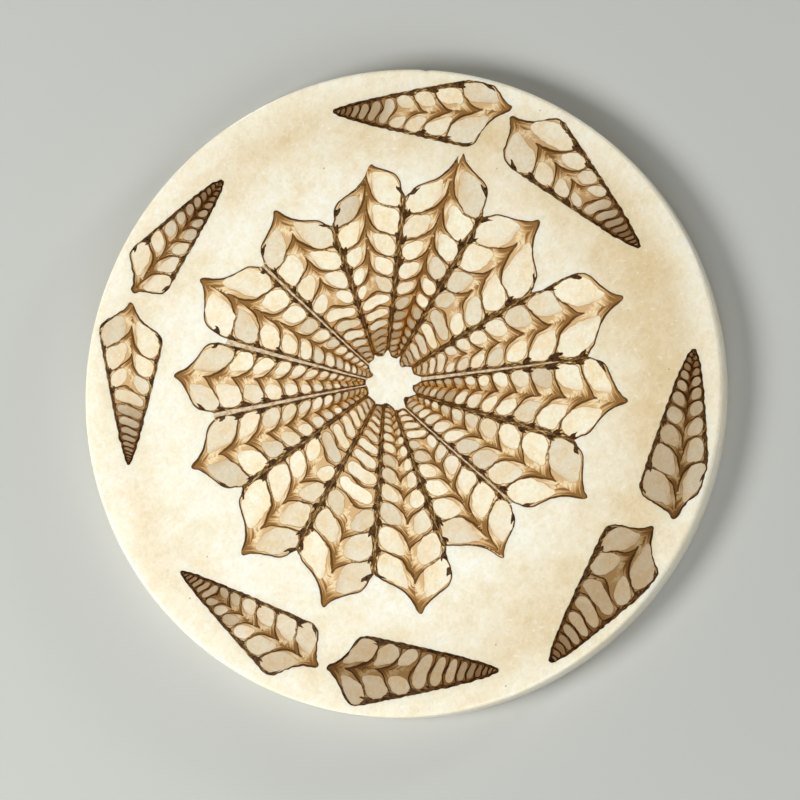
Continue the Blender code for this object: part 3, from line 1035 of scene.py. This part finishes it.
# The finished shape as a piece that stands for a CAD node
def placePiece(shape, name, materials, node):
    bmesh.ops.delete(shape, geom=[v for v in shape.verts if not v.link_faces], context="VERTS")
    bmesh.ops.recalc_face_normals(shape, faces=shape.faces)
    # the faces in the same order each run
    for order, face in enumerate(sorted(shape.faces, key=lambda face: tuple(face.calc_center_median()))):
        face.index = order
    shape.faces.sort()
    mesh = bpy.data.meshes.new(name)
    shape.to_mesh(mesh)
    shape.free()
    for material in materials:
        mesh.materials.append(material)
    mesh.set_sharp_from_angle(angle=math.radians(40))
    piece = bpy.data.objects.new(name, mesh)
    bpy.context.scene.collection.objects.link(piece)
    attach(piece, "root")
    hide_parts(node)


# A slice of shell: its polished face, the fillings a hair lower than the walls, and
# its sides and bed down in the pocket
def buildSlice(shell, name, draw):
    pattern = slicePattern(shell, draw)
    fields = fieldsOf(shell, pattern)
    top = cadHigh.z
    face = toFace(shell, warped(shell, pattern.verts)) * mm
    shape = bmesh.new()
    verts = [shape.verts.new((x, y, top)) for x, y in face]
    tone = shape.faces.layers.float.new("tone")
    shade = shape.faces.layers.float.new("shade")
    layers = {field: shape.loops.layers.float_vector.new(field) for field in fields}
    sunk = {}
    for index, triangle in enumerate(pattern.triangles.tolist()):
        made = shape.faces.new([verts[i] for i in triangle])
        made.material_index = int(pattern.kinds[index])
        made[tone] = pattern.tones[index]
        made[shade] = pattern.shades[index]
        made.smooth = True
        for corner, loop in enumerate(made.loops):
            for field, layer in layers.items():
                loop[layer] = [values[index, corner] for values in fields[field]]
            if made.material_index == 1:
                sunk[triangle[corner]] = fields["septum"][2][index, corner]
    for index, reach in sunk.items():
        verts[index].co.z = top - whorls["dip"] * mm * float(smoothstep(0, whorls["dipWidth"], reach))
    rim = sinkBorder(shape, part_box(shell.name)[0].z)
    floor = bmesh.ops.contextual_create(shape, geom=rim)
    for made in {face for edge in rim for face in edge.link_faces}:
        made.smooth = False
        made.material_index = 0
    bmesh.ops.triangulate(shape, faces=floor["faces"])
    placePiece(shape, name, sliceMaterials, shell.name)


# The CAD outline with its corners rounded, as ground by hand
def groundLoop(name, rough):
    return wander(evenly(cutCorners(topLoop(name), 2), whorls["spacing"]), rough)


rosetteNames = [f"rosette_shell_{number + 1:02d}" for number in range(len(rosette["shells"]))]
rosetteLoops = closeSeams({name: groundLoop(name, rosette["ground"]) for name in rosetteNames})
shells = []
for name, (reach, angle, *row) in zip(rosetteNames, rosette["shells"]):
    turn = math.radians(angle)
    apex = rosette["centre"]
    tip = (apex[0] + reach * math.cos(turn), apex[1] + reach * math.sin(turn))
    data = dict(zip(shellColumns, row), cleft=rosette["cleft"].get(len(shells) + 1))
    shells.append(makeShell(name, data, apex, tip, rosetteLoops[name]))
for ending, (apex, tip, *row) in rim["shells"].items():
    name = "rim_shell_" + ending
    data = dict(zip(rimColumns, row), aged=rim["aged"])
    shells.append(makeShell(name, data, apex, tip, groundLoop(name, rim["ground"])))
for number, shell in enumerate(shells):
    pieceName = shell.name.replace("_shell", "_slice")
    buildSlice(shell, pieceName, random.Random(number + 11))


print("slab")

body = dict(
    segments=720,
    roundSteps=6,
    edgeRound=1.2,
    chipAngle=86.0,  # a small chip in the rim
    chipWidth=1.1,  # half of it
    chipDepth=0.45,
    seamSpare=0.35,  # stone starts this far beyond a seam's own width
    seamShut=0.25,  # narrower seams hold brown cement, wider ones pinkish
)


# The side wall with its rounded edges, from the top face down to the underside
def slabProfile():
    radius = cadHigh.x / mm
    thick = cadHigh.z / mm
    corner = body["edgeRound"]
    points = []
    for centre, first in ((thick - corner, 90), (corner, 0)):
        for step in range(body["roundSteps"] + 1):
            turn = math.radians(first - 90 * step / body["roundSteps"])
            points.append((radius - corner + corner * math.cos(turn), centre + corner * math.sin(turn)))
    return points


# Which material lies at a place on the face: 0 stone, 1 a closed seam, 2 an open one
def seamAt(spot):
    away = []
    for number, shell in enumerate(shells[:len(rosetteNames)]):
        away.append((np.hypot(*(shell.loop - np.array(spot)).T).min(), number + 1))
    (nearer, one), (near, other) = sorted(away)[:2]
    left = seamWidth(spot[0], spot[1], one, other)
    if nearer + near > left + body["seamSpare"]:
        return 0
    return 2 if left > body["seamShut"] else 1


# The slab: side wall, underside, face with its seams of cement, and the pockets
def buildSlab():
    top = cadHigh.z
    chip = math.radians(body["chipAngle"])
    profile = slabProfile()
    count = body["segments"]
    angles = np.arange(count) * 2 * math.pi / count
    ring = np.column_stack([np.cos(angles), np.sin(angles)])
    shape = bmesh.new()
    rings = []
    for level, (radius, z) in enumerate(profile):
        away = (angles - chip) * radius / body["chipWidth"]
        bite = body["chipDepth"] * np.clip(1 - away ** 2, 0, 1) * (0 < level < body["roundSteps"] + 1)
        rings.append([shape.verts.new((x * (radius - cut) * mm, y * (radius - cut) * mm, z * mm))
                      for (x, y), cut in zip(ring, bite)])
    for upper, lower in zip(rings, rings[1:]):
        for step in range(count):
            after = (step + 1) % count
            made = shape.faces.new((upper[step], lower[step], lower[after], upper[after]))
            made.smooth = True
    shape.faces.new(rings[-1][::-1])
    # the face: a net between the rim and the slices' outlines
    points = [tuple(p) for p in ring * profile[0][0]]
    faces = [list(range(count))]
    for shell in shells:
        faces.append(list(range(len(points), len(points) + len(shell.loop))))
        points += [tuple(p) for p in shell.loop]
    made = delaunay_2d_cdt([Vector(p) for p in points], [], faces, 1, 1e-4)
    verts = [shape.verts.new((p[0] * mm, p[1] * mm, top)) for p in made[0]]
    for face, origins in zip(made[2], made[5]):
        if origins == [0]:
            laid = shape.faces.new([verts[i] for i in face])
            laid.material_index = seamAt(sum((made[0][i] for i in face), Vector((0, 0))) / len(face))
    bmesh.ops.remove_doubles(shape, verts=list(shape.verts), dist=2e-6)
    rim = sinkBorder(shape, min(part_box(shell.name)[0].z for shell in shells))
    bmesh.ops.edgeloop_fill(shape, edges=rim)
    placePiece(shape, "calciteSlab", (stone, closedSeam, openSeam), "stone_disc")


buildSlab()


print("stage, lights and camera")

stage = dict(size=3.0, colour="#BCBEBB", roughness=0.8)

half = stage["size"] / 2
floorMesh = bpy.data.meshes.new("floor")
floorMesh.from_pydata([(-half, -half, 0), (half, -half, 0), (half, half, 0), (-half, half, 0)], [],
                      [(0, 1, 2, 3)])
floorMesh.materials.append(finishMaterial(newMaterial("paleFloor")[0], {
    "Base Color": stage["colour"], "Roughness": stage["roughness"]}))
floor = bpy.data.objects.new("floor", floorMesh)
bpy.context.scene.collection.objects.link(floor)

# A studio with pale walls and a dim ceiling, which keeps the polish from veiling the
# browns.  The walls sweep out of the floor's dim far edge
studio = dict(
    colour="#F2F2EE",
    foot=0.25,  # how bright it is below the horizon, at the walls and above
    walls=0.5,
    ceiling=0.08,
    sweep=(-0.034, 0.012),  # heights between which one turns into the next
    rise=(0.12, 0.55),
)
world = bpy.data.worlds.new("studio")
world.use_nodes = True
world.node_tree.nodes.clear()
add = partial(addNode, world.node_tree)
heading = add("SeparateXYZ", {0: add("TexCoord").outputs["Generated"]})
strength = studio["foot"]
for (low, high), level in ((studio["sweep"], studio["walls"]), (studio["rise"], studio["ceiling"])):
    strength = add("MapRange", (heading.outputs[2], low, high, strength, level), "SMOOTHSTEP")
background = add("Background", {"Color": studio["colour"], "Strength": strength})
add("OutputWorld", {"Surface": background})
bpy.context.scene.world = world

# Each light's place, size, power and colour
lights = dict(
    key=((-0.70, -0.28, 0.87), 0.56, 11.4, "#FFFEFA"),  # broad, from the left
    low=((-0.45, 0.65, 0.16), 0.14, 0.9, "#FFFFFF"),  # rakes over the face from behind
    fill=((0.30, -0.85, 0.9), 0.9, 5.8, "#FFFFFF"),  # broader still, from the front
    side=((0.62, 0.42, 0.25), 0.12, 1.4, "#FFFFFF"),  # lifts the right-hand rim
)
for name, (place, size, power, colour) in lights.items():
    lamp = bpy.data.lights.new(name, "AREA")
    lamp.shape = "DISK"
    lamp.size = size
    lamp.energy = power
    lamp.color = hexToLinear(colour)[:3]
    holder = bpy.data.objects.new(name, lamp)
    holder.location = place
    holder.rotation_mode = "QUATERNION"
    holder.rotation_quaternion = (-Vector(place)).to_track_quat("-Z", "Y")
    bpy.context.scene.collection.objects.link(holder)

# The camera leans over the disc's lower right and keeps the rosette's top up
view = dict(
    lens=300.0,
    sensor=36.0,
    lean=13.1,  # degrees from straight above, and towards which direction
    towards=-24.4,
    frameWidth=245.6,  # millimetres of the scene across the frame
    across=0.2,  # the disc's middle in the frame, in pixels from the frame's own
    up=8.2,
    pixels=800,  # across the frame
)


def placeCamera():
    camera = bpy.data.cameras.new("camera")
    camera.lens = view["lens"]
    camera.sensor_width = view["sensor"]
    camera.clip_start = 0.05
    camera.clip_end = 20.0
    holder = bpy.data.objects.new("camera", camera)
    bpy.context.scene.collection.objects.link(holder)
    turn = math.radians(view["towards"])
    tilt = (Matrix.Rotation(turn, 4, "Z") @ Matrix.Rotation(math.radians(view["lean"]), 4, "Y")
            @ Matrix.Rotation(-turn, 4, "Z"))
    away = view["frameWidth"] * mm * view["lens"] / view["sensor"]
    pixel = view["frameWidth"] * mm / view["pixels"]
    framed = Matrix.Translation((-view["across"] * pixel, -view["up"] * pixel, away))
    holder.matrix_world = Matrix.Translation((0, 0, cadHigh.z)) @ tilt @ framed
    bpy.context.scene.camera = holder


placeCamera()
bpy.context.scene.view_settings.view_transform = "Standard"
